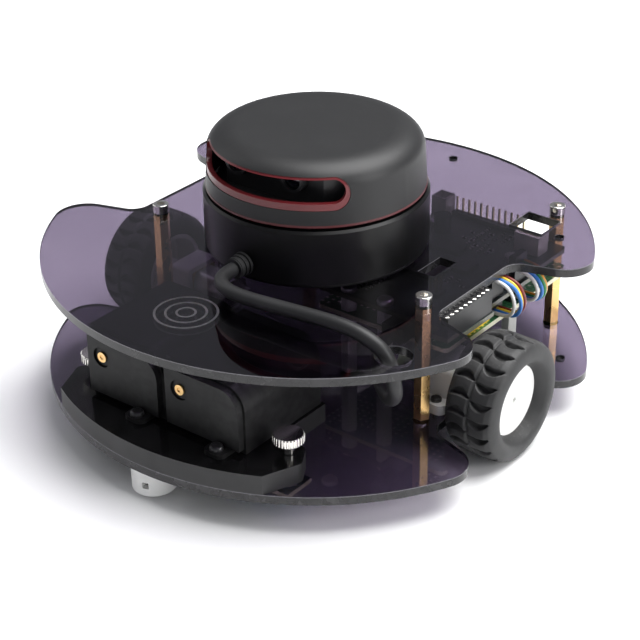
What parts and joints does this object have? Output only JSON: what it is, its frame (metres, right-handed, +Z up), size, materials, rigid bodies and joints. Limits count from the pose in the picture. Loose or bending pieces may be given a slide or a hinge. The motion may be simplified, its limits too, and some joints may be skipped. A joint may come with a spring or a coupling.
{
  "type": "line follower robot",
  "caption": "Two-wheeled line follower robot with two round see-through decks, geared side wheels, a ball caster and a spinning laser range finder.",
  "frame": {"origin": "floor point under the decks' common centre, wheels and caster standing on z = 0", "axes": "+X to the robot's left along the wheel axle, -Y to its front where the caster and range finder's window are, +Z up"},
  "size_m": [0.1704, 0.1868, 0.0973],
  "materials": {
    "deck_acrylic": "see-through dark violet acrylic, polished",
    "brass": "turned brass, satin",
    "nickel": "bright nickel",
    "steel": "plain steel",
    "black_steel": "blackened",
    "tray_black": "glossy top, sawn sides",
    "box_black": "fine grain",
    "cell_wrap": "shrink wrap",
    "white_plastic": "moulded white",
    "tyre_rubber": "matte black rubber",
    "head_plastic": "satin charcoal",
    "base_plastic": "glossy black",
    "trim_red": "dark red",
    "optics_dark": "dark, glass lenses",
    "lead_rubber": "smooth black jacket",
    "board_green": "green solder mask",
    "board_dark": "dark solder mask",
    "black_plastic": "moulded black",
    "spacer_nylon": "white nylon",
    "yellow_plastic": "moulded yellow",
    "wire_white": "insulated wire, white",
    "wire_blue": "insulated wire, blue",
    "wire_yellow": "insulated wire, yellow",
    "wire_red": "insulated wire, red",
    "wire_green": "insulated wire, green",
    "wire_orange": "insulated wire, orange"
  },
  "bodies": {
    "chassis": {"battery_box_left": "box_black", "battery_box_right": "box_black", "battery_cells": "cell_wrap", "black_screws": "black_steel", "board_chips": "black_plastic", "board_spacers": "spacer_nylon", "box_cover_left": "box_black", "box_cover_right": "box_black", "bracket_left": "white_plastic", "bracket_right": "white_plastic", "cable_gland": "lead_rubber", "cable_plug": "black_plastic", "caster_housing": "white_plastic", "controller_board": "board_green", "cover_screws": "brass", "deck_pillars": "brass", "deck_screws": "nickel", "driver_board": "board_dark", "front_tray": "tray_black", "gearbox_left": "brass", "gearbox_right": "brass", "line_sensor_board": "board_green", "line_sensors": "black_plastic", "lower_deck": "deck_acrylic", "motor_left": "steel", "motor_right": "steel", "rear_pin_header": "black_plastic", "scanner_base": "base_plastic", "scanner_cable": "lead_rubber", "small_screws": "steel", "socket_header": "black_plastic", "upper_deck": "deck_acrylic", "white_connectors": "white_plastic", "wire_front_blue": "wire_blue", "wire_front_red": "wire_red", "wire_front_white": "wire_white", "wire_front_yellow": "wire_yellow", "wire_rear_blue": "wire_blue", "wire_rear_green": "wire_green", "wire_rear_orange": "wire_orange", "wire_rear_white": "wire_white", "wire_sockets": "black_plastic", "yellow_header": "yellow_plastic"},
    "wheel_left": {"tyre_left": "tyre_rubber", "wheel_hub_left": "white_plastic", "output_shaft_left": "steel"},
    "idler_left": {"idler_gear_left": "brass"},
    "rotor_left": {"rotor_left": "steel"},
    "thumb_screw_left": {"thumb_screw_left": "nickel"},
    "wheel_right": {"tyre_right": "tyre_rubber", "wheel_hub_right": "white_plastic", "output_shaft_right": "steel"},
    "idler_right": {"idler_gear_right": "brass"},
    "rotor_right": {"rotor_right": "steel"},
    "thumb_screw_right": {"thumb_screw_right": "nickel"},
    "scanner_head": {"scanner_head": "head_plastic", "window_trim": "trim_red", "scanner_optics": "optics_dark", "scanner_spindle": "base_plastic"},
    "caster_ball": {"caster_ball": "nickel"}
  },
  "joints": [
    {"name": "wheel_left_spin", "type": "hinge", "parent": "chassis", "child": "wheel_left", "pos_m": [0.0755, 0, 0.021], "axis": [1, 0, 0], "continuous": true},
    {"name": "idler_left_spin", "type": "hinge", "parent": "chassis", "child": "idler_left", "pos_m": [0.055, 0.003, 0.021], "axis": [1, 0, 0], "continuous": true},
    {"name": "rotor_left_spin", "type": "hinge", "parent": "chassis", "child": "rotor_left", "pos_m": [0.045, 0, 0.021], "axis": [1, 0, 0], "continuous": true},
    {"name": "thumb_screw_left_turn", "type": "hinge", "parent": "chassis", "child": "thumb_screw_left", "pos_m": [0.04125, -0.0676, 0.0238], "axis": [0, 0, 1], "continuous": true},
    {"name": "wheel_right_spin", "type": "hinge", "parent": "chassis", "child": "wheel_right", "pos_m": [-0.0755, 0, 0.021], "axis": [1, 0, 0], "continuous": true},
    {"name": "idler_right_spin", "type": "hinge", "parent": "chassis", "child": "idler_right", "pos_m": [-0.055, 0.003, 0.021], "axis": [1, 0, 0], "continuous": true},
    {"name": "rotor_right_spin", "type": "hinge", "parent": "chassis", "child": "rotor_right", "pos_m": [-0.045, 0, 0.021], "axis": [1, 0, 0], "continuous": true},
    {"name": "thumb_screw_right_turn", "type": "hinge", "parent": "chassis", "child": "thumb_screw_right", "pos_m": [-0.04125, -0.0676, 0.0238], "axis": [0, 0, 1], "continuous": true},
    {"name": "scanner_head_spin", "type": "hinge", "parent": "chassis", "child": "scanner_head", "pos_m": [0, 0, 0.0773], "axis": [0, 0, 1], "continuous": true},
    {"name": "caster_ball_roll", "type": "hinge", "parent": "chassis", "child": "caster_ball", "pos_m": [0, -0.0854, 0.00475], "axis": [1, 0, 0], "continuous": true}
  ],
  "couplings": [
    {"joint": "idler_left_spin", "follows": "wheel_left_spin", "ratio": -2.3333},
    {"joint": "rotor_left_spin", "follows": "wheel_left_spin", "ratio": 5.4444},
    {"joint": "idler_right_spin", "follows": "wheel_right_spin", "ratio": -2.3333},
    {"joint": "rotor_right_spin", "follows": "wheel_right_spin", "ratio": 5.4444}
  ]
}
